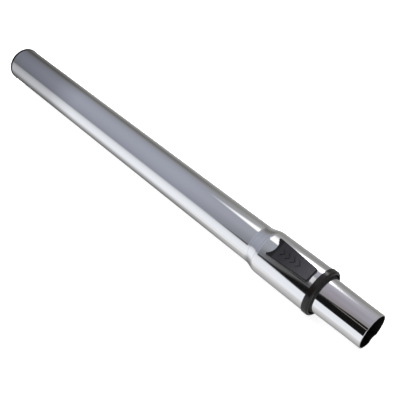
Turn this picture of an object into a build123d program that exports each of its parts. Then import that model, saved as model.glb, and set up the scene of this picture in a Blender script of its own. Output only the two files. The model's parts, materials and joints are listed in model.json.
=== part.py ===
"""A telescopic vacuum wand: a chromed outer tube with a swaged end, a chromed inner tube that slides
out of it, and a thumb slide whose cam frees a lock roller from a row of pressed notches.

Every piece is drawn round the wand's axis, with X along it, the tool end at X = 0 and the thumb button at +Z.
Places along the wand are distances from the tool end, so a rear end is the larger number.
The last step sets the wand down on the flat of its collar, with the origin under the middle of its length.
"""
from build123d import *
from math import atan, cos, sin, sqrt, tan
import os

# Whole wand, pushed together
WAND_LENGTH = 470.5
NOSE_LENGTH = 46.0

# Fits
RUNNING_GAP = 0.06
SLIDING_GAP = 0.1
SEAT_GAP = 0.05
SEAL_GAP = 0.02
END_PLAY = 0.3
OVERCUT = 1.0

# Tubes
INNER_OD = 32.0
INNER_WALL = 0.8
TUBE_PLAY = 0.7
TUBE_WALL = 0.8
SLEEVE_WALL = 3.24
SWAGE_LENGTH = 8.6
SWAGE_BEND = 14.0

# Tool end of the inner tube
SPIGOT_TAPER = 0.62
SPIGOT_LENGTH = 14.0
RIM_CHAMFER = 0.2

# Guide groove along the underside of the inner tube
GROOVE_DEPTH = 3.1
GROOVE_RADIUS = 4.2
GROOVE_BLEND = 1.5

# Row of notches along its top
NOTCH_PITCH = 25.0
NOTCH_DEPTH = 1.3
NOTCH_EASE = 0.6
STOP_ROOM = 8.0

# Collar and its wiper
COLLAR_LENGTH = 5.5
COLLAR_STEP = 0.6
COLLAR_LAND = 0.39
COLLAR_SKIRT = 4.4
COLLAR_SKIRT_WALL = 1.3
RECESS_DEPTH = 2.2
RECESS_WIDTH = 1.2
RECESS_FLARE = 0.5
REST_LIFT = 0.1
WIPER_LIP = 1.2
WIPER_LIP_WALL = 0.25
WIPER_WALL = 0.75
WIPER_FOOT = 0.8

# Hose-end socket
BUSH_WALL = 0.65
BUSH_LENGTH = 38.5
TRIM_STEP = 0.35
TRIM_LENGTH = 2.6
TRIM_CHAMFER = 0.8
HOSE_LEAD_IN = 0.8

# Guide sleeve, held by a snap in the underside of the outer tube
SLEEVE_TAIL = 9.9
SLEEVE_TO_SWAGE = 3.6
SNAP_WIDTH = 7.0
SNAP_LENGTH = 3.0
SNAP_SETBACK = 3.8

# Rear guide and seal on the hidden end of the inner tube
GUIDE_LENGTH = 15.0
GUIDE_LIP = 1.4
STUD_DIAMETER = 4.0
SEAL_LENGTH = 3.0

# Lock roller
ROLLER_DIAMETER = 4.0
ROLLER_LENGTH = 7.2
ROLLER_LIFT = 1.35
ROLLER_CHAMFER = 0.4

# Cam slide inside the wand
SLIDE_TRAVEL = 3.0
SLIDE_FLOOR = 1.25
CAM_WING = 2.6
CAM_TAIL = 3.0
CAM_NOSE = 4.9
CAM_CHEEK = 1.6
CAM_RIB = 0.9
CAM_END_WALL = 0.7
CAM_CORNER = 1.2
CAM_RISE = 0.4
SIDE_PLAY = 0.2
WINDOW_PLAY = 0.4
CLIP_WIDTH = 6.0
CLIP_THICKNESS = 1.3
CLIP_DEPTH = 2.3

# Thumb button outside it
BUTTON_ROOF = 1.4
BUTTON_CHEEK = 1.4
BUTTON_FLARE = 2.4
BUTTON_STOP = 1.2
BUTTON_OVERLAP = 0.9
BUTTON_HOLLOW = 3.9
BUTTON_CORNER = 1.2
BUTTON_EDGE = 0.7
BUTTON_BEVEL = 7.0
BUTTON_FALL = 1.2
HORN_WIDTH = 1.4
CHEVRON_COUNT = 4
CHEVRON_SETBACK = 11.55
CHEVRON_PITCH = 5.2
CHEVRON_HALF_WIDTH = 3.0
CHEVRON_SWEEP = 2.9
CHEVRON_LINE = 0.9
CHEVRON_DEPTH = 0.4

# Return springs
SPRING_LENGTH = 10.4
SPRING_DIAMETER = 2.2
SPRING_WIRE = 0.32
SPRING_TURNS = 5
SPRING_SPACING = 9.8
SPRING_SINK = 0.4
SPRING_WALL = 0.7
SPRING_PLAY = 0.15

# Radii that follow from the sizes above
inner_r = INNER_OD / 2
spigot_r = inner_r - SPIGOT_TAPER
sleeve_bore_r = inner_r + RUNNING_GAP
tube_bore_r = inner_r + TUBE_PLAY
tube_r = tube_bore_r + TUBE_WALL
sleeve_r = sleeve_bore_r + SLEEVE_WALL
socket_bore_r = sleeve_r + SEAT_GAP
socket_r = socket_bore_r + TUBE_WALL
collar_r = socket_r + COLLAR_STEP
trim_r = tube_r + TRIM_STEP
bush_r = tube_bore_r - SEAT_GAP
hose_bore_r = bush_r - BUSH_WALL
guide_r = tube_bore_r - SLIDING_GAP
saddle_r = socket_r + SLIDING_GAP
axis_height = socket_r + REST_LIFT

# Roller and cam: the ramp stands a seat gap off the roller and climbs as fast as the roller rises
roller_r = ROLLER_DIAMETER / 2
notch_r = roller_r + NOTCH_EASE
roller_height = inner_r - NOTCH_DEPTH + SEAT_GAP + roller_r
cam_slope = ROLLER_LIFT / SLIDE_TRAVEL
cam_angle = atan(cam_slope)
touch_height = roller_height + roller_r * cos(cam_angle) + SEAT_GAP / cos(cam_angle)
slide_floor_r = inner_r + SLIDE_FLOOR
cam_low = slide_floor_r - OVERCUT
cam_top = max(socket_r + CAM_RISE, roller_height + ROLLER_LIFT + roller_r + CAM_RISE)
cam_width = ROLLER_LENGTH + 2 * CAM_CHEEK
plate_width = cam_width + 2 * CAM_WING
window_width = cam_width + 2 * WINDOW_PLAY
button_top = cam_top + SEAT_GAP + BUTTON_ROOF

# Places along the wand
collar_rear = NOSE_LENGTH + COLLAR_LENGTH
skirt_rear = collar_rear + COLLAR_SKIRT
spring_front = skirt_rear + SPRING_WALL
cam_front = spring_front + SPRING_LENGTH
ramp_foot = cam_front + CAM_END_WALL + CLIP_THICKNESS + CAM_NOSE
roller_place = ramp_foot + roller_r * sin(cam_angle) + (touch_height - cam_low) / cam_slope
pocket_rear = roller_place + SLIDE_TRAVEL + roller_r + SLIDING_GAP
block_rear = pocket_rear + CAM_RIB + CLIP_THICKNESS + CAM_END_WALL
cam_rear = block_rear + CAM_TAIL
window_rear = block_rear + WINDOW_PLAY
window_front = cam_front - SLIDE_TRAVEL - WINDOW_PLAY
button_front = collar_rear + SLIDE_TRAVEL + BUTTON_STOP
button_rear = window_rear + SLIDE_TRAVEL + BUTTON_HOLLOW + BUTTON_OVERLAP
sleeve_rear = cam_rear + SLIDING_GAP + SLEEVE_TAIL
swage_front = sleeve_rear + SLEEVE_TO_SWAGE
swage_rear = swage_front + SWAGE_LENGTH
tube_rear = WAND_LENGTH - TRIM_LENGTH
bush_front = WAND_LENGTH - BUSH_LENGTH
inner_rear = bush_front - END_PLAY - GUIDE_LIP
guide_front = inner_rear - GUIDE_LENGTH
seal_front = guide_front - SEAT_GAP - SEAL_LENGTH
notch_count = int((seal_front - sleeve_rear - STOP_ROOM) / NOTCH_PITCH) + 1
clip_places = (cam_front + CAM_END_WALL, block_rear - CAM_END_WALL - CLIP_THICKNESS)


def turned(*corners):
    """A solid turned about the wand's axis, from (place, radius) corners."""
    outline = make_face(Plane.XZ * Polyline(*[(-place, radius) for place, radius in corners], close=True))
    return revolve(outline, axis=Axis.X)


def rod(rear, front, radius, y=0.0, z=0.0):
    """A plain round bar parallel to the axis."""
    return Pos(-(rear + front) / 2, y, z) * Rot(0, 90, 0) * Cylinder(radius, rear - front)


def block(rear, front, width, low, high):
    """A box across the wand's mid plane, between two heights above the axis."""
    return Pos(-(rear + front) / 2, 0, (low + high) / 2) * Box(rear - front, width, high - low)


def outer_rims(solid, radius):
    """The round edges of one radius, from the hose end to the tool end."""
    rims = solid.edges().filter_by(GeomType.CIRCLE)
    return rims.filter_by(lambda edge: abs(edge.radius - radius) < SEAL_GAP).sort_by(Axis.X)


def section(radius, grow=0.0):
    """The inner tube's section: a circle with the guide groove pressed in from below, grown by a gap."""
    groove_centre = radius - GROOVE_DEPTH + GROOVE_RADIUS
    outline = Circle(radius + grow) - Pos(0, -groove_centre) * Circle(GROOVE_RADIUS - grow)
    return fillet(outline.vertices(), GROOVE_BLEND + grow)


def placed(outline, place):
    """An outline drawn across the wand's axis, at a place along it."""
    return Plane(origin=(-place, 0, 0), x_dir=(0, 1, 0), z_dir=(1, 0, 0)) * outline


def grooved_bar(rear, front, radius, grow=0.0):
    """A straight bar of the inner tube's section."""
    return extrude(placed(section(radius, grow), rear), rear - front)


def outer_tube():
    """The chromed steel tube, swaged out to a socket, with a window for the cam slide and a snap hole."""
    bend = atan((socket_r - tube_r) / SWAGE_LENGTH)
    shift = TUBE_WALL * tan(bend / 2)
    outer = [(-tube_rear, tube_r), (-swage_rear, tube_r), (-swage_front, socket_r), (-collar_rear, socket_r)]
    inner = [
        (-collar_rear, socket_bore_r),
        (-swage_front + shift, socket_bore_r),
        (-swage_rear + shift, tube_bore_r),
        (-tube_rear, tube_bore_r),
    ]
    outline = make_face(Polyline(*outer, *inner, close=True))
    for corner in (outer[1], inner[1]):
        outline = fillet(outline.vertices().sort_by_distance(corner)[0], SWAGE_BEND)
    for corner in (outer[2], inner[2]):
        outline = fillet(outline.vertices().sort_by_distance(corner)[0], SWAGE_BEND + TUBE_WALL)
    tube = revolve(Plane.XZ * outline, axis=Axis.X)
    window = RectangleRounded(window_rear - window_front, window_width, CAM_CORNER + WINDOW_PLAY)
    window = Pos(-(window_rear + window_front) / 2, 0, 0) * extrude(window, button_top)
    return tube - window - snap(collar_r, SLIDING_GAP)


def snap(reach, grow=0.0):
    """The lug under the guide sleeve that snaps into the outer tube, or with grow the hole for it."""
    middle = skirt_rear + SNAP_SETBACK
    half = SNAP_LENGTH / 2 + grow
    return block(middle + half, middle - half, SNAP_WIDTH + 2 * grow, -reach, TUBE_WALL - sleeve_r)


def notch_punch(step, radius):
    """The round punch that presses one notch of the row across the top of the inner tube."""
    height = inner_r - NOTCH_DEPTH + notch_r
    punch = Rot(90, 0, 0) * Cylinder(radius, INNER_OD / 2)
    return Pos(-roller_place - step * NOTCH_PITCH, 0, height) * punch


def inner_shape(inset):
    """The inner tube as a solid bar, notched and tapered, or with inset the space inside it."""
    bar = grooved_bar(inner_rear, NOSE_LENGTH, inner_r, -inset)
    wide = placed(section(inner_r, -inset), NOSE_LENGTH)
    narrow = placed(section(spigot_r, -inset), SPIGOT_LENGTH)
    taper = loft([wide, narrow], ruled=True)
    spigot = grooved_bar(SPIGOT_LENGTH, 0, spigot_r, -inset)
    if not inset:
        rim = spigot.faces().sort_by(Axis.X)[-1].edges()
        spigot = chamfer(rim, RIM_CHAMFER)
    punches = [notch_punch(step, notch_r + inset) for step in range(notch_count)]
    return bar + taper + spigot - punches


def inner_tube():
    """The chromed inner tube: a guide groove along its underside, a row of notches on top, a tapered nose."""
    tube = inner_shape(0) - inner_shape(INNER_WALL)
    return tube - [stud(side, SEAT_GAP) for side in (-1, 1)]


def hose_socket():
    """The black bush in the hose end of the outer tube, with a trim ring over the tube's cut edge."""
    bush = turned(
        (WAND_LENGTH, hose_bore_r + HOSE_LEAD_IN),
        (WAND_LENGTH, trim_r),
        (tube_rear, trim_r),
        (tube_rear, bush_r),
        (bush_front, bush_r),
        (bush_front, hose_bore_r),
        (WAND_LENGTH - HOSE_LEAD_IN, hose_bore_r),
    )
    return chamfer(outer_rims(bush, trim_r)[0], TRIM_CHAMFER)


def collar():
    """The black end ring: a flange over the socket, recessed round the wiper, with a flat to rest on."""
    skirt_bore_r = sleeve_r - COLLAR_SKIRT_WALL
    hub_r = sleeve_bore_r + WIPER_WALL + SEAT_GAP
    recess_r = hub_r + RECESS_WIDTH + RECESS_FLARE
    ring = turned(
        (collar_rear, hub_r),
        (collar_rear, skirt_bore_r),
        (skirt_rear, skirt_bore_r),
        (skirt_rear, sleeve_r),
        (collar_rear, sleeve_r),
        (collar_rear, collar_r),
        (NOSE_LENGTH, collar_r),
        (NOSE_LENGTH, recess_r),
        (NOSE_LENGTH + RECESS_DEPTH, recess_r - RECESS_FLARE),
        (NOSE_LENGTH + RECESS_DEPTH, hub_r),
    )
    ring = fillet(outer_rims(ring, collar_r)[-1], collar_r - recess_r - COLLAR_LAND)
    return ring - block(collar_rear + OVERCUT, NOSE_LENGTH - OVERCUT, INNER_OD, -2 * collar_r, -axis_height)


def wiper_seal():
    """The rubber lip that wipes the inner tube, held in the collar's recess."""
    base_r = sleeve_bore_r + WIPER_WALL
    foot_r = base_r + WIPER_FOOT
    floor = NOSE_LENGTH + RECESS_DEPTH - SEAT_GAP
    ring = turned(
        (collar_rear - SEAT_GAP, 0),
        (collar_rear - SEAT_GAP, base_r),
        (floor, base_r),
        (floor, foot_r),
        (floor - WIPER_FOOT, foot_r),
        (floor - 2 * WIPER_FOOT, base_r),
        (NOSE_LENGTH - WIPER_LIP, sleeve_bore_r + WIPER_LIP_WALL),
        (NOSE_LENGTH - WIPER_LIP, 0),
    )
    return ring - grooved_bar(sleeve_rear, 0, inner_r, RUNNING_GAP)


def arc_plate(rear, front, width, low_r, high_r):
    """A plate bent round the wand's axis, above it."""
    slab = block(rear, front, width, 0, 2 * high_r)
    return (slab & rod(rear, front, high_r)) - rod(rear, front, low_r)


def guide_sleeve():
    """The acetal guide between the tubes, keyed to the groove, with room for the slide and the roller."""
    body = rod(sleeve_rear, skirt_rear + SEAT_GAP, sleeve_r)
    body += rod(skirt_rear + SEAT_GAP, collar_rear + SEAT_GAP, sleeve_r - COLLAR_SKIRT_WALL - 2 * SEAT_GAP)
    body += snap(socket_r)
    body -= grooved_bar(sleeve_rear, collar_rear, inner_r, RUNNING_GAP)
    pocket_width = plate_width + 2 * SIDE_PLAY
    body -= arc_plate(cam_rear + SLIDING_GAP, window_front, pocket_width, slide_floor_r, socket_r)
    body -= block(
        roller_place + roller_r + SEAT_GAP,
        roller_place - roller_r - SEAT_GAP,
        ROLLER_LENGTH + 2 * SLIDING_GAP,
        0,
        socket_r,
    )
    return body - [spring_channel(side) for side in (-1, 1)]


def spring_line(side):
    """Where the axis of a return spring crosses a plane square to the wand."""
    spring_place_r = socket_bore_r - SPRING_SINK - SPRING_DIAMETER / 2
    y = side * SPRING_SPACING / 2
    return y, sqrt(spring_place_r**2 - y**2)


def spring_channel(side):
    """The round-bottomed channel in the guide sleeve that a return spring lies in."""
    y, z = spring_line(side)
    front = spring_front - SEAT_GAP
    width = SPRING_DIAMETER + 2 * SPRING_PLAY
    mouth = Pos(-(cam_front + front) / 2, y, z + width) * Box(cam_front - front, width, 2 * width)
    return rod(cam_front, front, width / 2, y, z) + mouth


def return_spring(side):
    """A small compression spring that pushes the thumb slide back to the locked position."""
    y, z = spring_line(side)
    wire_r = SPRING_WIRE / 2
    rise = SPRING_LENGTH - SEAT_GAP - SPRING_WIRE
    path = Helix(rise / SPRING_TURNS, rise, SPRING_DIAMETER / 2 - wire_r)
    start = Plane(origin=path @ 0, z_dir=path % 0)
    coil = sweep(start * RegularPolygon(wire_r, 4), path=path, is_frenet=True)
    return Pos(-cam_front + SEAT_GAP + wire_r, y, z) * Rot(0, 90, 0) * coil


def roller():
    """The hardened steel pin that drops across a notch and locks the inner tube."""
    pin = Rot(90, 0, 0) * Cylinder(roller_r, ROLLER_LENGTH)
    pin = chamfer(pin.edges().filter_by(GeomType.CIRCLE), ROLLER_CHAMFER)
    return Pos(-roller_place, 0, roller_height) * pin


def cam_slide():
    """The acetal slide under the button: its sloping pocket lifts the roller as it goes forward."""
    low_r = slide_floor_r + SLIDING_GAP
    plate = arc_plate(cam_rear, cam_front, plate_width, low_r, socket_bore_r - SLIDING_GAP)
    raised = block(block_rear, cam_front, cam_width, inner_r, cam_top)
    raised = fillet(raised.edges().filter_by(Axis.Z), CAM_CORNER)
    body = plate + (raised - rod(cam_rear, cam_front, low_r))
    head = cam_top + OVERCUT
    ramp_head = ramp_foot + (head - cam_low) / cam_slope
    pocket = Plane.XZ * Polyline(
        (-pocket_rear, cam_low), (-pocket_rear, head), (-ramp_head, head), (-ramp_foot, cam_low), close=True
    )
    body -= extrude(make_face(pocket), ROLLER_LENGTH / 2 + SLIDING_GAP, both=True)
    return body - [clip(place, SEAT_GAP) for place in clip_places]


def clip(place, grow=0.0):
    """A leg of the button that snaps into the cam slide, or with grow the hole for it."""
    return block(
        place + CLIP_THICKNESS + grow,
        place - grow,
        CLIP_WIDTH + 2 * grow,
        cam_top - CLIP_DEPTH - grow,
        cam_top + 2 * SEAT_GAP,
    )


def button_outline():
    """The button from above: flared sides, a square front, and a fish-tail hollow between two horns."""
    front_half = cam_width / 2 + BUTTON_CHEEK
    rear_half = front_half + BUTTON_FLARE
    horn = rear_half - HORN_WIDTH
    sides = Polyline(
        (-button_rear, horn),
        (-button_rear + HORN_WIDTH / 2, rear_half),
        (-button_front, front_half),
        (-button_front, -front_half),
        (-button_rear + HORN_WIDTH / 2, -rear_half),
        (-button_rear, -horn),
    )
    hollow = ThreePointArc((-button_rear, -horn), (-button_rear + BUTTON_HOLLOW, 0), (-button_rear, horn))
    outline = make_face([*sides.edges(), hollow])
    return fillet(outline.vertices().sort_by(Axis.X)[-2:], BUTTON_CORNER)


def button():
    """The thumb button: a saddle on the tube, falling away at its tail, with chevrons and two clip legs."""
    cap = Pos(0, 0, inner_r) * extrude(button_outline(), button_top - inner_r)
    crease = (-button_rear + BUTTON_BEVEL, button_top)
    fall = Polyline(crease, (-button_rear, button_top), (-button_rear, button_top - BUTTON_FALL), close=True)
    cap -= extrude(Plane.XZ * make_face(fall), INNER_OD, both=True)
    top = cap.faces().filter_by(Axis.Z).sort_by(Axis.Z)[-1]
    cap = chamfer(top.edges().sort_by(Axis.X)[1:], BUTTON_EDGE)
    cap -= rod(button_rear + OVERCUT, button_front - OVERCUT, saddle_r)
    cap -= block(block_rear + SEAT_GAP, cam_front - SEAT_GAP, cam_width + 2 * SEAT_GAP, 0, cam_top + SEAT_GAP)
    cap += [clip(place) for place in clip_places]
    return cap - [chevron(step) for step in range(CHEVRON_COUNT)]


def chevron(step):
    """One shallow chevron in the button's top, pointing the way the thumb pushes."""
    tip = -button_front - CHEVRON_SETBACK - step * CHEVRON_PITCH
    tail = tip - CHEVRON_SWEEP
    outline = Polyline(
        (tip, 0),
        (tail, CHEVRON_HALF_WIDTH),
        (tail - CHEVRON_LINE, CHEVRON_HALF_WIDTH),
        (tip - CHEVRON_LINE, 0),
        (tail - CHEVRON_LINE, -CHEVRON_HALF_WIDTH),
        (tail, -CHEVRON_HALF_WIDTH),
        close=True,
    )
    return Pos(0, 0, button_top - CHEVRON_DEPTH) * extrude(make_face(outline), 2 * CHEVRON_DEPTH)


def rear_guide(side):
    """Half of the acetal bush on the hidden end of the inner tube, with a stud through the tube's wall."""
    bush = rod(inner_rear + GUIDE_LIP, guide_front, guide_r)
    bush -= grooved_bar(inner_rear, guide_front, inner_r, SEAL_GAP)
    bush -= grooved_bar(WAND_LENGTH, inner_rear, inner_r, -INNER_WALL)
    half = block(inner_rear + GUIDE_LIP, guide_front, INNER_OD, -INNER_OD, INNER_OD)
    half = Pos(0, side * (INNER_OD + SEAT_GAP) / 2, 0) * half
    return (bush & half) + stud(side)


def stud(side, grow=0.0):
    """The stud that pins a half guide to the inner tube, or with grow the hole for it."""
    inside = inner_r - INNER_WALL
    outside = (inner_r + guide_r) / 2
    peg = Rot(90, 0, 0) * Cylinder(STUD_DIAMETER / 2 + grow, outside - inside)
    return Pos(-(inner_rear + guide_front) / 2, side * (inside + outside) / 2, 0) * peg


def rear_seal():
    """The felt ring that closes the gap between the tubes, just ahead of the rear guide."""
    ring = rod(guide_front - SEAT_GAP, seal_front, tube_bore_r - SEAL_GAP)
    return ring - grooved_bar(guide_front, seal_front, inner_r, SEAL_GAP)


pieces = {
    "outer_tube": outer_tube(),
    "hose_socket": hose_socket(),
    "collar": collar(),
    "wiper_seal": wiper_seal(),
    "guide_sleeve": guide_sleeve(),
    "inner_tube": inner_tube(),
    "rear_guide_left": rear_guide(1),
    "rear_guide_right": rear_guide(-1),
    "rear_seal": rear_seal(),
    "lock_roller": roller(),
    "cam_slide": cam_slide(),
    "button": button(),
    "return_spring_left": return_spring(1),
    "return_spring_right": return_spring(-1),
}

os.makedirs("parts", exist_ok=True)
for name, piece in pieces.items():
    solid = Pos(WAND_LENGTH / 2, 0, axis_height) * piece
    solid.label = name
    export_step(solid, f"parts/{name}.step")
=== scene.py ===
# %% [markdown]
# # A telescopic vacuum wand
# The wand is two chromed steel tubes, one sliding in the other, with black plastic fittings and a thumb
# button that unlocks them. Nearly all its shapes come ready made from the CAD model, so this lesson is
# about the other half of a product picture: the camera, the finishes, and the surroundings that
# polished metal needs before it looks like metal.

# %% Load the model
import json
import math

import bmesh
import bpy
from mathutils import Matrix, Vector


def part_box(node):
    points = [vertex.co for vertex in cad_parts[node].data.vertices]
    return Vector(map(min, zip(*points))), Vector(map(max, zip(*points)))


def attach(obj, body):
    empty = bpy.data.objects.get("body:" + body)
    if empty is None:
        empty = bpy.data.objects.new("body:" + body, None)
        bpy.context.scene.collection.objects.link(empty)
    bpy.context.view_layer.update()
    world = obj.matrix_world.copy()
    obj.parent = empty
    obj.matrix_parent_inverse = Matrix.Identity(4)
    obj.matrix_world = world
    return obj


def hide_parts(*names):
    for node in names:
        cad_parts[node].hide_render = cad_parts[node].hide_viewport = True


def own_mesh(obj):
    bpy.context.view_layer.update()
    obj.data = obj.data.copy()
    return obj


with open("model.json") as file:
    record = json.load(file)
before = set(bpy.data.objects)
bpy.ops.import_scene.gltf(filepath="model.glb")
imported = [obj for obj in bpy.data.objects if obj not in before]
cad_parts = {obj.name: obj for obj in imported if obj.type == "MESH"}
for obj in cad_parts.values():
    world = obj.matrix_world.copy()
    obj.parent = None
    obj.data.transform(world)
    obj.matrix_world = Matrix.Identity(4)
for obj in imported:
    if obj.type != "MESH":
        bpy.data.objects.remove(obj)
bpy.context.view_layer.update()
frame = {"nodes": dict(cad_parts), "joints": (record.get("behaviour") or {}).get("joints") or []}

nodes = frame["nodes"]
print("pieces:", ", ".join(sorted(nodes)))

# %% [markdown]
# ## Sizes to work from
# The wand lies along X with its tool end at the +X end. The chrome and the light tent are both worked
# out from the axis of the tubes. Its height could be typed in, but it would be wrong as soon as the
# model changed, so it is measured from the boxes of the pieces.

# %% Measure the wand
tube_low, tube_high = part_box("outer_tube")
button_low, button_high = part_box("button")
tool_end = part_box("inner_tube")[1].x
axis_height = (tube_low.z + tube_high.z) / 2
print("tube axis", round(axis_height, 5), "m up, tool end at", round(tool_end, 5), "m")

# %% [markdown]
# ## The camera
# The picture looks down the wand from beyond its tool end, close enough for strong perspective. A
# camera could be aimed at a target and nudged until the picture fits. It is surer to say which way the
# wand points in the picture, because that can be measured there. So the wand's own directions are
# written in the picture's right, down and forward: along it, and then round it from the side that faces
# the camera to the button. The camera's own turn follows from them.

# %% Point the wand in the picture
BUTTON_TURN = math.radians(-16.5)

along = Vector((0.67934, 0.52503, -0.51267)).normalized()
facing = Vector((-0.406, -0.312, -0.858))
facing = (facing - along * facing.dot(along)).normalized()
side = along.cross(facing)
up = facing * math.cos(BUTTON_TURN) + side * math.sin(BUTTON_TURN)
left = facing * math.sin(BUTTON_TURN) - side * math.cos(BUTTON_TURN)
right, down, forward = Matrix((along, left, up)).transposed()
print("the picture looks along", [round(value, 3) for value in forward])

# %% Make the camera
CAMERA_PLACE = Vector((0.34845, -0.14240, 0.50100))
LENS_MM = 59.73
FILM_MM = 36.0

camera_data = bpy.data.cameras.new("camera")
camera_data.lens = LENS_MM
camera_data.sensor_width = FILM_MM
camera = bpy.data.objects.new("camera", camera_data)
turn = Matrix((right, -down, -forward)).transposed()
camera.matrix_world = Matrix.Translation(CAMERA_PLACE) @ turn.to_4x4()
bpy.context.scene.collection.objects.link(camera)
bpy.context.scene.camera = camera
print("camera at", [round(value, 4) for value in CAMERA_PLACE], "with a lens of", LENS_MM, "mm")

# %% [markdown]
# ## Felt
# A felt ring keeps dust out of the gap between the tubes. Felt is matted wool: it never shines, and its
# surface is a fuzz less than half a millimetre deep. Fibres could be grown on it as hair, but nobody
# sees the ring, so a fine noise that raises and lowers the surface is enough. It is the simplest finish
# of all. Like the others it starts from a Principled shader with its plain values on the shader's own
# sockets, and gets nodes only for what changes over the surface.

# %% Start a finish
FELT_GREY = (0.30, 0.29, 0.27)


def new_material(name, colour, roughness, metallic=0.0):
    material = bpy.data.materials.new(name)
    material.use_nodes = True
    shader = material.node_tree.nodes["Principled BSDF"]
    shader.inputs["Base Color"].default_value = (*colour, 1.0)
    shader.inputs["Roughness"].default_value = roughness
    shader.inputs["Metallic"].default_value = metallic
    return material, material.node_tree, shader


def dress(material, *names):
    for name in names:
        for slot in nodes[name].material_slots:
            slot.material = material
    print(material.name, "on", ", ".join(names))


felt, tree, shader = new_material("grey_felt", FELT_GREY, roughness=0.95)
dress(felt, "rear_seal")

# %% Raise the fuzz
FUZZ_SCALE = 1800.0
FUZZ_DETAIL = 6.0
FUZZ_STRENGTH = 0.8
FUZZ_HEIGHT = 0.0004


def add_node(tree, kind, **settings):
    node = tree.nodes.new(kind)
    for key, value in settings.items():
        setattr(node, key, value)
    return node


def object_noise(tree, scale, stretch=(1.0, 1.0, 1.0), detail=2.0):
    place = add_node(tree, "ShaderNodeTexCoord")
    mapping = add_node(tree, "ShaderNodeMapping")
    mapping.inputs["Scale"].default_value = stretch
    noise = add_node(tree, "ShaderNodeTexNoise")
    noise.inputs["Scale"].default_value = scale
    noise.inputs["Detail"].default_value = detail
    tree.links.new(place.outputs["Object"], mapping.inputs["Vector"])
    tree.links.new(mapping.outputs["Vector"], noise.inputs["Vector"])
    return noise.outputs["Fac"]


def bump_node(tree, height, strength, distance):
    bump = add_node(tree, "ShaderNodeBump")
    bump.inputs["Strength"].default_value = strength
    bump.inputs["Distance"].default_value = distance
    tree.links.new(height, bump.inputs["Height"])
    return bump


fuzz = bump_node(tree, object_noise(tree, FUZZ_SCALE, detail=FUZZ_DETAIL), FUZZ_STRENGTH, FUZZ_HEIGHT)
tree.links.new(fuzz.outputs["Normal"], shader.inputs["Normal"])
print("fuzz up to", FUZZ_HEIGHT * 1000, "mm deep")

# %% [markdown]
# ## Ground steel
# The roller that locks the tubes is ground steel. Grinding leaves it half bright, with streaks that are
# a little duller than the rest. They could be real scratches in the surface, but they are far too fine
# to be seen one by one, so a noise that is drawn out along the roller changes the roughness instead.
# Noise keeps mostly to the middle of its range, so that middle is what gets spread over the two
# roughnesses.

# %% Steel for the roller
STEEL_GREY = (0.56, 0.55, 0.54)
STREAK_SCALE = 900.0
ALONG_ROLLER = (1.0, 0.1, 1.0)
BRIGHT_STREAK = 0.20
DULL_STREAK = 0.38
NOISE_LOW = 0.3
NOISE_HIGH = 0.7


def map_range(tree, value, start, end):
    scale = add_node(tree, "ShaderNodeMapRange")
    scale.inputs["From Min"].default_value, scale.inputs["To Min"].default_value = start
    scale.inputs["From Max"].default_value, scale.inputs["To Max"].default_value = end
    tree.links.new(value, scale.inputs["Value"])
    return scale.outputs["Result"]


def spread_noise(tree, noise, lowest, highest):
    return map_range(tree, noise, (NOISE_LOW, lowest), (NOISE_HIGH, highest))


ground_steel, tree, shader = new_material("ground_steel", STEEL_GREY, roughness=0.28, metallic=1.0)
streaks = spread_noise(tree, object_noise(tree, STREAK_SCALE, ALONG_ROLLER), BRIGHT_STREAK, DULL_STREAK)
tree.links.new(streaks, shader.inputs["Roughness"])
dress(ground_steel, "lock_roller")

# %% [markdown]
# ## Moulded plastic
# The collar, the wiper and the bush of the hose end are moulded in a steel tool that was spark-eroded,
# and take a fine grain from it, which spreads a highlight instead of mirroring it. A picture of such a
# grain could be wrapped round them, but it would need an unwrapped surface and would stretch on the
# curves. A noise in the space of the object fits any shape. A second, broad noise makes the gloss
# uneven, as handling does. The hidden guides are white acetal with the same grain.

# %% Plastics
FITTING_BLACK = (0.007, 0.0055, 0.005)
RUBBER_BLACK = (0.012, 0.012, 0.012)
ACETAL_WHITE = (0.72, 0.71, 0.67)
MOTTLE_SCALE = 90.0
MOTTLE = 0.05
GRAIN_SCALE = 2600.0
GRAIN_DETAIL = 3.0
GRAIN_HEIGHT = 0.00006


def plastic_material(name, colour, roughness, grain, shine=0.5):
    material, tree, shader = new_material(name, colour, roughness)
    shader.inputs["Specular IOR Level"].default_value = shine
    mottle = spread_noise(tree, object_noise(tree, MOTTLE_SCALE), roughness - MOTTLE, roughness + MOTTLE)
    tree.links.new(mottle, shader.inputs["Roughness"])
    bump = bump_node(tree, object_noise(tree, GRAIN_SCALE, detail=GRAIN_DETAIL), grain, GRAIN_HEIGHT)
    tree.links.new(bump.outputs["Normal"], shader.inputs["Normal"])
    return material


fitting_plastic = plastic_material("black_fitting_plastic", FITTING_BLACK, roughness=0.19, grain=0.18,
                                   shine=0.42)
wiper_rubber = plastic_material("wiper_rubber", RUBBER_BLACK, roughness=0.55, grain=0.15)
white_acetal = plastic_material("white_acetal", ACETAL_WHITE, roughness=0.35, grain=0.10)
dress(fitting_plastic, "collar", "hose_socket")
dress(wiper_rubber, "wiper_seal")
dress(white_acetal, "guide_sleeve", "cam_slide", "rear_guide_left", "rear_guide_right")

# %% [markdown]
# ## The button's thumbed top and painted shade
# Thumbs dull and lighten the top of the button, most of all at its front, where they press. Its walls
# and the pressed chevrons are painted deep black: a painted shade in the grooves and on the walls. Wear
# is often painted by hand. Here both follow two plain facts that the shader can work out from the place
# on the surface: how far forward it is, for the wear, and how far below the top, for the painted shade.
# Both are measured from the model, so they stay on the button whatever its size.

# %% The button
WORN_PLASTIC = (0.0335, 0.0325, 0.0385)
SHELTERED_PLASTIC = (0.0115, 0.0110, 0.0140)
# painted shade: the deep black colour of the button's walls and chevron grooves
GROOVE_SHADE_PLASTIC = (0.0035, 0.0030, 0.0035)
WEAR_START = 0.36
SHADE_START_DEPTH = 0.00010
SHADE_FULL_DEPTH = 0.00030


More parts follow.
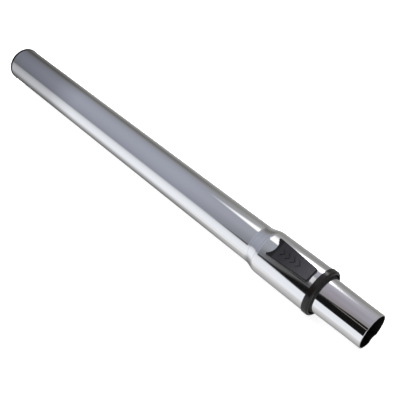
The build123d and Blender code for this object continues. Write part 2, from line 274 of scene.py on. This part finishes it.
def parts_of(tree, coordinate):
    surface = add_node(tree, "ShaderNodeTexCoord")
    parts = add_node(tree, "ShaderNodeSeparateXYZ")
    tree.links.new(surface.outputs[coordinate], parts.inputs["Vector"])
    return parts.outputs


def blend(tree, factor, first, second):
    mix = add_node(tree, "ShaderNodeMix", data_type="RGBA")
    for key, value in (("Factor", factor), ("A", first), ("B", second)):
        if isinstance(value, bpy.types.NodeSocket):
            tree.links.new(value, mix.inputs[key])
        else:
            mix.inputs[key].default_value = (*value, 1.0)
    return mix.outputs["Result"]


button_plastic = plastic_material("black_button_plastic", SHELTERED_PLASTIC, roughness=0.36, grain=0.25,
                                  shine=0.35)
tree = button_plastic.node_tree
place = parts_of(tree, "Object")
wear_start = button_low.x + WEAR_START * (button_high.x - button_low.x)
shade_start = button_high.z - SHADE_START_DEPTH
shade_full = button_high.z - SHADE_FULL_DEPTH
forward_share = map_range(tree, place["X"], (wear_start, 0.0), (button_high.x, 1.0))
# painted shade: below the top, in the grooves and on the walls, the colour goes to deep black
painted_shade_share = map_range(tree, place["Z"], (shade_start, 0.0), (shade_full, 1.0))
top_colour = blend(tree, forward_share, SHELTERED_PLASTIC, WORN_PLASTIC)
button_colour = blend(tree, painted_shade_share, top_colour, GROOVE_SHADE_PLASTIC)
tree.links.new(button_colour, tree.nodes["Principled BSDF"].inputs["Base Color"])
dress(button_plastic, "button")

# %% [markdown]
# ## Chromed steel
# Bright chrome on a drawn tube is close to a mirror. Two things keep it from looking like plain
# computer chrome: the plating is a little hazy in places, and the drawn tube under it is not quite
# true, so reflections waver along it. One noise changes the roughness for the haze, and a broader,
# shallow one is a bump for the waver.
#
# Plating does not reach inside a tube, so the inside is bare steel, and its colour is also darkened far
# below that of bare steel as a painted shade of the tube's inside. The inside could be given a material
# of its own, face by face, but the shader can also tell it: there the surface faces the axis, which
# shows as a negative product of its normal and its place beside the axis.

# %% Tell the inside of a tube
FACING_AXIS = -0.007


def math_node(tree, operation, first, second=None):
    node = add_node(tree, "ShaderNodeMath", operation=operation)
    for socket, value in zip(node.inputs, (first, second)):
        if isinstance(value, bpy.types.NodeSocket):
            tree.links.new(value, socket)
        elif value is not None:
            socket.default_value = value
    return node.outputs[0]


def inside_tube(tree):
    place = parts_of(tree, "Object")
    normal = parts_of(tree, "Normal")
    height = math_node(tree, "SUBTRACT", place["Z"], axis_height)
    across = math_node(tree, "MULTIPLY", normal["Y"], place["Y"])
    upward = math_node(tree, "MULTIPLY", normal["Z"], height)
    return math_node(tree, "LESS_THAN", math_node(tree, "ADD", across, upward), FACING_AXIS)


print("a surface is inside where it faces the axis by more than", -FACING_AXIS * 1000, "mm")

# %% [markdown]
# Polishing softens the line where the inner tube's taper ends near its tip. A long, faint ramp of bump
# height, as steep as the taper, carries the taper's reflections on to the rim. The bump node of the
# waver takes it as the surface to start from, so both add up.

# %% Chrome
CHROME = (0.90, 0.90, 0.91)
# bare steel inside the tube, darkened as a painted shade of the tube's inside
SHADED_BARE_STEEL = (0.035, 0.033, 0.031)
INSIDE_DULLNESS = 0.4
HAZE_SCALE = 60.0
HAZE_STRETCH = (0.4, 1.0, 1.0)
CLEAR_PLATING = 0.05
HAZY_PLATING = 0.09
WAVE_SCALE = 14.0
WAVE_STRETCH = (0.5, 1.0, 1.0)
WAVE_STRENGTH = 0.05
WAVE_HEIGHT = 0.001
TIP_LENGTH = 0.014
TIP_FALL = 0.00027


def chrome_material(name):
    average = (CLEAR_PLATING + HAZY_PLATING) / 2
    material, tree, shader = new_material(name, CHROME, roughness=average, metallic=1.0)
    inside = inside_tube(tree)
    # painted shade: the inside of the tube gets the darkened bare steel colour
    tree.links.new(blend(tree, inside, CHROME, SHADED_BARE_STEEL), shader.inputs["Base Color"])
    haze = spread_noise(tree, object_noise(tree, HAZE_SCALE, HAZE_STRETCH), CLEAR_PLATING, HAZY_PLATING)
    dull = math_node(tree, "MULTIPLY", inside, INSIDE_DULLNESS)
    tree.links.new(math_node(tree, "ADD", haze, dull), shader.inputs["Roughness"])
    place = parts_of(tree, "Object")
    tip_ramp = map_range(tree, place["X"], (tool_end - TIP_LENGTH, 1.0), (tool_end, 0.0))
    taper = bump_node(tree, tip_ramp, 1.0, TIP_FALL)
    wave = bump_node(tree, object_noise(tree, WAVE_SCALE, WAVE_STRETCH), WAVE_STRENGTH, WAVE_HEIGHT)
    tree.links.new(taper.outputs["Normal"], wave.inputs["Normal"])
    tree.links.new(wave.outputs["Normal"], shader.inputs["Normal"])
    return material


dress(chrome_material("chromed_outer_tube"), "outer_tube")
dress(chrome_material("chromed_inner_tube"), "inner_tube")

# %% [markdown]
# ## The return springs
# Two small coils of drawn wire push the button's slide back to its locked place. A coil could be a
# curve with a round bevel, with every turn worked out as points. A spin makes it with less: it is the
# path of a small circle that turns about an axis and moves along it at the same time. The sliding
# button shortens both coils by as much as it travels. Each is made as a piece of its own at its full
# length, and its pressed length is only printed.

# %% Wind a coil of wire
WIRE_RADIUS = 0.00016
WIRE_SIDES = 10
COIL_TURNS = 5
STEPS_PER_TURN = 24


def wound_wire(centre, start, length):
    steps = COIL_TURNS * STEPS_PER_TURN
    step_along = (length / steps, 0, 0)
    upright = Matrix.Rotation(math.pi / 2, 3, "X")
    coil = bmesh.new()
    bmesh.ops.create_circle(coil, cap_ends=False, segments=WIRE_SIDES, radius=WIRE_RADIUS)
    bmesh.ops.rotate(coil, verts=coil.verts, cent=(0, 0, 0), matrix=upright)
    bmesh.ops.translate(coil, verts=coil.verts, vec=start)
    bmesh.ops.spin(coil, geom=coil.verts[:] + coil.edges[:], cent=centre, axis=(1, 0, 0), dvec=step_along,
                   angle=2 * math.pi * COIL_TURNS, steps=steps)
    open_ends = [edge for edge in coil.edges if edge.is_boundary]
    bmesh.ops.holes_fill(coil, edges=open_ends, sides=WIRE_SIDES)
    bmesh.ops.recalc_face_normals(coil, faces=coil.faces)
    return coil


print("wire", WIRE_RADIUS * 2000, "mm thick, wound", COIL_TURNS, "times")

# %% Return springs
def link_mesh(name, mesh_data, material):
    mesh = bpy.data.meshes.new(name)
    mesh_data.to_mesh(mesh)
    mesh_data.free()
    mesh.materials.append(material)
    thing = bpy.data.objects.new(name, mesh)
    bpy.context.scene.collection.objects.link(thing)
    return thing


def return_spring(node, travel):
    low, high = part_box(node)
    centre = (low + high) / 2
    length = high.x - low.x
    start = (low.x + WIRE_RADIUS, centre.y, high.z - WIRE_RADIUS)
    coil = wound_wire(centre, start, length - 2 * WIRE_RADIUS)
    spring = link_mesh(node + "_coil", coil, ground_steel)
    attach(spring, "outer")
    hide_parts(node)
    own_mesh(spring)
    print(spring.name, "is", round(length, 5), "m long, and", round(length - travel, 5), "m when pressed")


button_travel = next(joint["range_m"][1] for joint in frame["joints"] if joint["name"] == "button_slide")
return_spring("return_spring_left", button_travel)
return_spring("return_spring_right", button_travel)

# %% [markdown]
# ## The light tent
# Chrome has no colour of its own: it shows the room. In a studio such an object lies in a long tent of
# paper, grey on top and white along one side, and the tube turns it into bands that run from end to
# end. A picture of a studio could stand for the room, but it is the same all along the wand, and the
# bands change along it. So the tent is built: a long cylinder round the wand that only reflections see,
# which can be tuned without changing any other light.
#
# Its tone depends on the angle round the wand, where 0 is straight up and positive angles lean towards
# the camera's side. There is one set of bands for the near end of the wand and one for the far end. A
# band is an angle, a grey level from 0 to 255, and a tint, which is the share that is taken off its
# red, green and blue.

# %% The tent's bands
PLAIN = (0.0, 0.0, 0.0)
FAINT = (0.07, 0.045, 0.0)
COOL = (0.19, 0.15, 0.0)
SILVER = (0.13, 0.10, 0.0)
WARM = (0.0, 0.0, 0.05)

FAR_BANDS = (
    (-180, 112, PLAIN), (-165, 176, PLAIN), (-150, 190, PLAIN), (-128, 172, PLAIN), (-104, 130, WARM),
    (-92, 112, WARM), (-80, 124, PLAIN), (-66, 154, FAINT), (-48, 174, COOL), (-20, 182, COOL),
    (0, 180, COOL), (28, 173, COOL), (51, 160, COOL), (61, 226, FAINT), (78, 248, FAINT),
    (104, 254, FAINT), (118, 228, FAINT), (134, 170, PLAIN), (150, 146, PLAIN), (168, 96, PLAIN),
)
NEAR_BANDS = (
    (-180, 150, PLAIN), (-150, 180, PLAIN), (-128, 158, PLAIN), (-104, 140, WARM), (-80, 166, PLAIN),
    (-50, 166, SILVER), (-20, 172, SILVER), (0, 168, SILVER), (18, 156, SILVER), (37, 146, SILVER),
    (52, 138, SILVER), (61, 220, FAINT), (70, 246, FAINT), (104, 251, FAINT), (118, 212, PLAIN),
    (140, 188, PLAIN), (168, 150, PLAIN),
)
print(len(NEAR_BANDS), "bands at the near end,", len(FAR_BANDS), "at the far end")

# %% [markdown]
# A grey level is how bright a tone looks on a screen, and shaders count light, so the level goes
# through the usual screen curve first. A colour ramp then holds the bands and blends each into the
# next. It could also be done with many mixed gradients, but a ramp keeps the bands in one place, where
# they are easy to tune.

# %% Bands as a colour ramp
def tone(grey, tint):
    level = ((grey / 255 + 0.055) / 1.055) ** 2.4
    return [level * (1 - cut) for cut in tint]


def band_ramp(tree, share, bands):
    ramp = add_node(tree, "ShaderNodeValToRGB")
    elements = ramp.color_ramp.elements
    while len(elements) < len(bands):
        elements.new(0.5)
    for element, (angle, grey, tint) in zip(elements, bands):
        element.position = angle / 360 + 0.5
        element.color = (*tone(grey, tint), 1.0)
    tree.links.new(share, ramp.inputs["Fac"])
    return ramp.outputs["Color"]


brightest = max(band[1] for band in FAR_BANDS)
print("the brightest band gives", round(tone(brightest, PLAIN)[0], 3), "of full white")

# %% [markdown]
# Paper that glows is an Emission shader. Where it ends it would leave a hard line in the chrome, so it
# is mixed with a Transparent shader, and a cover from 0 to 1 says how much of the paper is there.

# %% Paper that glows
def empty_material(name):
    material = bpy.data.materials.new(name)
    material.use_nodes = True
    material.node_tree.nodes.clear()
    return material, material.node_tree


def glowing_paper(name):
    material, tree = empty_material(name)
    glow = add_node(tree, "ShaderNodeEmission")
    clear = add_node(tree, "ShaderNodeBsdfTransparent")
    cover = add_node(tree, "ShaderNodeMixShader")
    output = add_node(tree, "ShaderNodeOutputMaterial")
    tree.links.new(clear.outputs["BSDF"], cover.inputs[1])
    tree.links.new(glow.outputs["Emission"], cover.inputs[2])
    tree.links.new(cover.outputs["Shader"], output.inputs["Surface"])
    return material, tree, glow, cover


print("glowing paper is ready for the tents and the cards")

# %% [markdown]
# The tent's own paper takes its colour from the two sets of bands. A point's angle comes from its height
# over the axis and its place beside it, and its place along the wand says how far the near bands have
# given way to the far ones.

# %% The tent's paper
def tent_paper(name, near_to_far, dimming, soft_ends):
    material, tree, glow, cover = glowing_paper(name)
    place = parts_of(tree, "Object")
    height = math_node(tree, "SUBTRACT", place["Z"], axis_height)
    lean = math_node(tree, "ARCTAN2", math_node(tree, "MULTIPLY", place["Y"], -1.0), height)
    share = math_node(tree, "ADD", math_node(tree, "DIVIDE", lean, 2 * math.pi), 0.5)
    near_bands = band_ramp(tree, share, NEAR_BANDS)
    far_bands = band_ramp(tree, share, FAR_BANDS)
    bands = blend(tree, map_range(tree, place["X"], *near_to_far), near_bands, far_bands)
    tree.links.new(bands, glow.inputs["Color"])
    tree.links.new(map_range(tree, place["X"], *dimming), glow.inputs["Strength"])
    fades = [map_range(tree, place["X"], *fade) for fade in soft_ends]
    tree.links.new(math_node(tree, "MULTIPLY", *fades), cover.inputs["Fac"])
    return material


print("the paper's bands turn about the axis", round(axis_height, 5), "m up")

# %% [markdown]
# The tent itself is a circle that is extruded along the wand. A cone with two equal ends would give the
# same wall, but it is made about its middle, and a tent is easier to state by its two ends. It goes
# over from its near bands to its far ones and dims with distance, and both are given as two places
# along the wand with a value at each.
#
# The sloping swage looks much further back than the straight tube beside it, and would mirror the dim
# end as a dark ring. So a second, short tent hangs close round the wand. Seen from the tube, its tones
# run on from the long one.

# %% Hang the tents
TENT_SIDES = 96


def only_reflected(thing):
    thing.visible_camera = False
    thing.visible_diffuse = False
    thing.visible_transmission = False
    thing.visible_volume_scatter = False
    thing.visible_shadow = False


def hang_tent(name, radius, start, end, margin, near_to_far, dimming):
    soft_ends = (((start, 0.0), (start + margin, 1.0)), ((end, 0.0), (end - margin, 1.0)))
    across = Matrix.Rotation(math.pi / 2, 3, "Y")
    shell = bmesh.new()
    bmesh.ops.create_circle(shell, cap_ends=False, segments=TENT_SIDES, radius=radius)
    bmesh.ops.rotate(shell, verts=shell.verts, cent=(0, 0, 0), matrix=across)
    bmesh.ops.translate(shell, verts=shell.verts, vec=(start, 0, axis_height))
    wall = bmesh.ops.extrude_edge_only(shell, edges=shell.edges[:])
    moved = [part for part in wall["geom"] if isinstance(part, bmesh.types.BMVert)]
    bmesh.ops.translate(shell, verts=moved, vec=(end - start, 0, 0))
    only_reflected(link_mesh(name, shell, tent_paper(name + "_paper", near_to_far, dimming, soft_ends)))
    print(name, radius, "m in radius,", round(end - start, 2), "m long")


hang_tent("long_tent", radius=1.5, start=-9.0, end=9.0, margin=0.05,
          near_to_far=((-0.55, 0.0), (-0.90, 1.0)), dimming=((-0.95, 1.0), (-2.0, 0.50)))
hang_tent("swage_tent", radius=0.3, start=-0.46, end=-0.10, margin=0.06,
          near_to_far=((-0.0135, 0.0), (-0.153, 1.0)), dimming=((-0.192, 1.0), (-0.38, 0.95)))

# %% [markdown]
# ## Cards inside the tent
# White cards over the near end put hot streaks on the shoulder of the tube, and a dark one, where the
# camera stands, puts in the black that makes chrome look deep. Area lamps could be used for the white
# ones, but a lamp has a plain outline and a hard edge. A card is cut to any outline and bent round the
# tent, so its corners are given as a place along the wand, in metres, and an angle round it.
#
# Its cover fades out over a soft margin. It is worked out for every point of the card's grid, from how
# deep inside the outline the point lies, and stored there as an attribute that the material reads.

# %% How much of a card covers a point
def cover_at(point, corners, margin):
    inside = False
    nearest = math.inf
    for start, end in zip(corners, corners[1:] + corners[:1]):
        span = end - start
        share = min(max((point - start).dot(span) / span.length_squared, 0.0), 1.0)
        nearest = min(nearest, (point - start - span * share).length)
        if (start.y > point.y) != (end.y > point.y):
            crossing = start.x + span.x * (point.y - start.y) / span.y
            inside = inside != (point.x < crossing)
    depth = nearest if inside else -nearest
    return min(max(0.5 + depth / margin, 0.0), 1.0)


sample_card = [Vector((0, 0)), Vector((1, 0)), Vector((1, 1)), Vector((0, 1))]
print("cover in the middle", cover_at(Vector((0.5, 0.5)), sample_card, 0.1), "and on the edge",
      cover_at(Vector((1.0, 0.5)), sample_card, 0.1))

# %% [markdown]
# A card starts as a flat grid that is fine enough for its margin. Every point is moved to its place
# round the tent, and gets its cover there. The radius is the card's distance from the axis. The first
# one is a plain strip, which lights the narrow gap between the button and the collar.

# %% Bend a card round the tent
WHITE = (1.0, 1.0, 1.0)
STEPS_PER_MARGIN = 4
STRIP_CARD = ((-0.283, -24), (-0.31, -24), (-0.31, 8), (-0.283, 8))


def hang_card(name, outline, radius, margin, level, colour=WHITE):
    corners = [Vector((place, math.radians(angle) * radius)) for place, angle in outline]
    low = [min(corner[axis] for corner in corners) - margin for axis in (0, 1)]
    high = [max(corner[axis] for corner in corners) + margin for axis in (0, 1)]
    steps = [math.ceil(STEPS_PER_MARGIN * (high[axis] - low[axis]) / margin) for axis in (0, 1)]
    grid = bmesh.new()
    bmesh.ops.create_grid(grid, x_segments=steps[0], y_segments=steps[1], size=0.5)
    covers = []
    for vert in grid.verts:
        point = Vector([low[axis] + (vert.co[axis] + 0.5) * (high[axis] - low[axis]) for axis in (0, 1)])
        covers.append(cover_at(point, corners, margin))
        lean = point.y / radius
        vert.co = (point.x, -radius * math.sin(lean), axis_height + radius * math.cos(lean))
    material, tree, glow, cover = glowing_paper(name)
    glow.inputs["Color"].default_value = (*colour, 1.0)
    glow.inputs["Strength"].default_value = level
    stored = add_node(tree, "ShaderNodeAttribute", attribute_name="cover")
    tree.links.new(stored.outputs["Fac"], cover.inputs["Fac"])
    card = link_mesh(name, grid, material)
    card.data.attributes.new("cover", "FLOAT", "POINT").data.foreach_set("value", covers)
    only_reflected(card)
    print(name, "with", len(card.data.polygons), "faces")


hang_card("strip_card", STRIP_CARD, radius=1.40, margin=0.03, level=1.1)

# %% [markdown]
# The other white cards are a wide one whose long tail tapers along the tube's shoulder, and smaller ones
# for the side of the socket, the lower side of the tube, and the inner tube beside the collar. The small
# lamp card is many times brighter than the rest, as a bare lamp in the tent would be.

# %% White cards
SHOULDER_CARD = ((-0.425, -70), (-0.47, -67), (-0.51, -61), (-0.58, -55), (-0.665, -48), (-0.665, -45),
                 (-0.58, -40), (-0.51, -36), (-0.425, -35))
FLANK_CARD = ((-0.26, -84), (-0.345, -80), (-0.325, -66), (-0.26, -62))
SIDE_CARD = ((-0.42, 106), (-0.85, 106), (-0.85, 122), (-0.42, 122))
NOSE_CARD = ((-0.18, -68), (-0.27, -76), (-0.27, -54), (-0.18, -60))
LAMP_CARD = ((-0.24, -70), (-0.27, -74), (-0.35, -75), (-0.34, -68), (-0.27, -60), (-0.24, -60))

hang_card("shoulder_card", SHOULDER_CARD, radius=1.40, margin=0.16, level=1.4)
hang_card("flank_card", FLANK_CARD, radius=1.40, margin=0.14, level=1.2)
hang_card("side_card", SIDE_CARD, radius=1.40, margin=0.16, level=0.85)
hang_card("nose_card", NOSE_CARD, radius=1.40, margin=0.16, level=1.4)
hang_card("lamp_card", LAMP_CARD, radius=1.39, margin=0.06, level=9.0)

# %% [markdown]
# Tinted cards come next. Two broad ones give the inner tube its lilac cast, and one of them is very
# soft. The narrow tan one is the thin warm line that runs through the black near the tip.

# %% Tinted cards
LILAC = (0.95, 0.89, 1.0)
PALE_LILAC = (0.90, 0.88, 1.0)
TAN = (1.0, 0.90, 0.80)
GLOW_CARD = ((-0.08, -64), (-0.26, -76), (-0.26, -36), (-0.08, -44))
LILAC_CARD = ((-0.05, -62), (-0.26, -66), (-0.26, 40), (-0.05, 40))
TAN_CARD = ((0.05, 25.5), (-0.115, 26.5), (-0.115, 28.2), (0.05, 28.2))

hang_card("glow_card", GLOW_CARD, radius=1.42, margin=0.40, level=0.52, colour=PALE_LILAC)
hang_card("lilac_card", LILAC_CARD, radius=1.44, margin=0.10, level=0.365, colour=LILAC)
hang_card("tan_card", TAN_CARD, radius=1.30, margin=0.03, level=0.42, colour=TAN)

# %% [markdown]
# Dark cards hold light back. The long one is nearly black and hangs in front of the white ones: it is
# the gap that the camera looks through, and it runs from the nose past the button to a thin tail on the
# tube. The shade card fills the wedge between it and the button, the grey one is the softer dark beside
# the button, and the dusk card is a very soft dimming behind the black on the inner tube.

# %% Dark cards
DUSK = (1.0, 0.94, 0.95)
DARK_CARD = ((0.30, 10.5), (-0.07, 15), (-0.12, 20), (-0.20, 26), (-0.25, 34), (-0.262, 32), (-0.30, 33.5),
             (-0.385, 50), (-0.45, 52.5), (-0.53, 51.5), (-0.57, 53), (-0.64, 54), (-0.64, 55),
             (-0.57, 56.5), (-0.53, 57), (-0.42, 59.5), (-0.36, 62.5), (-0.32, 65), (-0.262, 68),
             (-0.24, 64), (-0.07, 67), (0.30, 69))
SHADE_CARD = ((-0.275, 14), (-0.40, 14), (-0.40, 29), (-0.33, 28.5), (-0.275, 29.5))
GREY_CARD = ((-0.26, 22), (-0.43, 22), (-0.46, 40), (-0.45, 57), (-0.26, 60))
DUSK_CARD = ((0.30, -2), (-0.07, 0), (-0.145, 4), (-0.26, 12), (-0.26, 60), (0.30, 60))

hang_card("dusk_card", DUSK_CARD, radius=1.43, margin=0.42, level=0.26, colour=DUSK)
hang_card("grey_card", GREY_CARD, radius=1.38, margin=0.08, level=0.115)
hang_card("shade_card", SHADE_CARD, radius=1.36, margin=0.05, level=0.02)
hang_card("dark_card", DARK_CARD, radius=1.35, margin=0.05, level=0.007)

# %% [markdown]
# ## The floor
# The wand lies on pale paper that runs into a white background. A curved backdrop would hide the
# horizon in one view only. So the floor is a flat sheet that also glows a little, for the camera alone:
# that lifts it to the white of the background and still leaves a soft shadow under the tubes.
# Reflections don't see it, because the tent is what the chrome shows.

# %% Lay the floor
FLOOR_SIZE = 12.0
FLOOR_TONE = 0.8
FLOOR_GLOW = 0.75

floor_material, tree = empty_material("pale_floor")
paper = add_node(tree, "ShaderNodeBsdfDiffuse")
paper.inputs["Color"].default_value = (FLOOR_TONE, FLOOR_TONE, FLOOR_TONE, 1.0)
lift = add_node(tree, "ShaderNodeEmission")
lift.inputs["Color"].default_value = (*WHITE, 1.0)
ray = add_node(tree, "ShaderNodeLightPath")
lift_strength = math_node(tree, "MULTIPLY", ray.outputs["Is Camera Ray"], FLOOR_GLOW)
both = add_node(tree, "ShaderNodeAddShader")
output = add_node(tree, "ShaderNodeOutputMaterial")
tree.links.new(lift_strength, lift.inputs["Strength"])
tree.links.new(paper.outputs["BSDF"], both.inputs[0])
tree.links.new(lift.outputs["Emission"], both.inputs[1])
tree.links.new(both.outputs["Shader"], output.inputs["Surface"])

sheet = bmesh.new()
bmesh.ops.create_grid(sheet, x_segments=1, y_segments=1, size=FLOOR_SIZE / 2)
floor = link_mesh("floor", sheet, floor_material)
floor.visible_glossy = False
print("floor", FLOOR_SIZE, "m square")

# %% [markdown]
# ## The sky
# Soft light comes from all round, as in a white room. A background of strength 1 would look white but
# would also flood the black plastic with light. So the world is white only where the camera, a mirror
# or glass looks at it, and much dimmer as a light.

# %% Light from all round
SKY_LEVEL = 0.28

world = bpy.data.worlds.new("studio")
bpy.context.scene.world = world
world.use_nodes = True
tree = world.node_tree
tree.nodes.clear()
ray = add_node(tree, "ShaderNodeLightPath")
seen = math_node(tree, "MAXIMUM", ray.outputs["Is Camera Ray"], ray.outputs["Is Glossy Ray"])
seen = math_node(tree, "MAXIMUM", seen, ray.outputs["Is Transmission Ray"])
sky = add_node(tree, "ShaderNodeBackground")
sky.inputs["Color"].default_value = (*WHITE, 1.0)
output = add_node(tree, "ShaderNodeOutputWorld")
sky_strength = math_node(tree, "ADD", math_node(tree, "MULTIPLY", seen, 1.0 - SKY_LEVEL), SKY_LEVEL)
tree.links.new(sky_strength, sky.inputs["Strength"])
tree.links.new(sky.outputs["Background"], output.inputs["Surface"])
print("sky lights at", SKY_LEVEL, "and looks white")

# %% [markdown]
# ## The softbox
# One wide lamp above and behind the wand draws its shadow on the floor and gives the plastic its sheen.
# The chrome must not show it, because its streaks come from the cards, so reflections don't see it. The
# Standard view shows each colour as it was set.

# %% One wide lamp
SOFTBOX_SIZE = (1.6, 1.0)
SOFTBOX_WATTS = 34.0
SOFTBOX_PLACE = Vector((-0.1, 0.35, 1.4))

softbox_light = bpy.data.lights.new("softbox", "AREA")
softbox_light.shape = "RECTANGLE"
softbox_light.size, softbox_light.size_y = SOFTBOX_SIZE
softbox_light.energy = SOFTBOX_WATTS
softbox = bpy.data.objects.new("softbox", softbox_light)
softbox.location = SOFTBOX_PLACE
softbox.rotation_euler = (-SOFTBOX_PLACE).to_track_quat("-Z", "Y").to_euler()
softbox.visible_glossy = False
bpy.context.scene.collection.objects.link(softbox)
bpy.context.scene.view_settings.view_transform = "Standard"
print("softbox", SOFTBOX_WATTS, "W at", [round(value, 2) for value in SOFTBOX_PLACE])
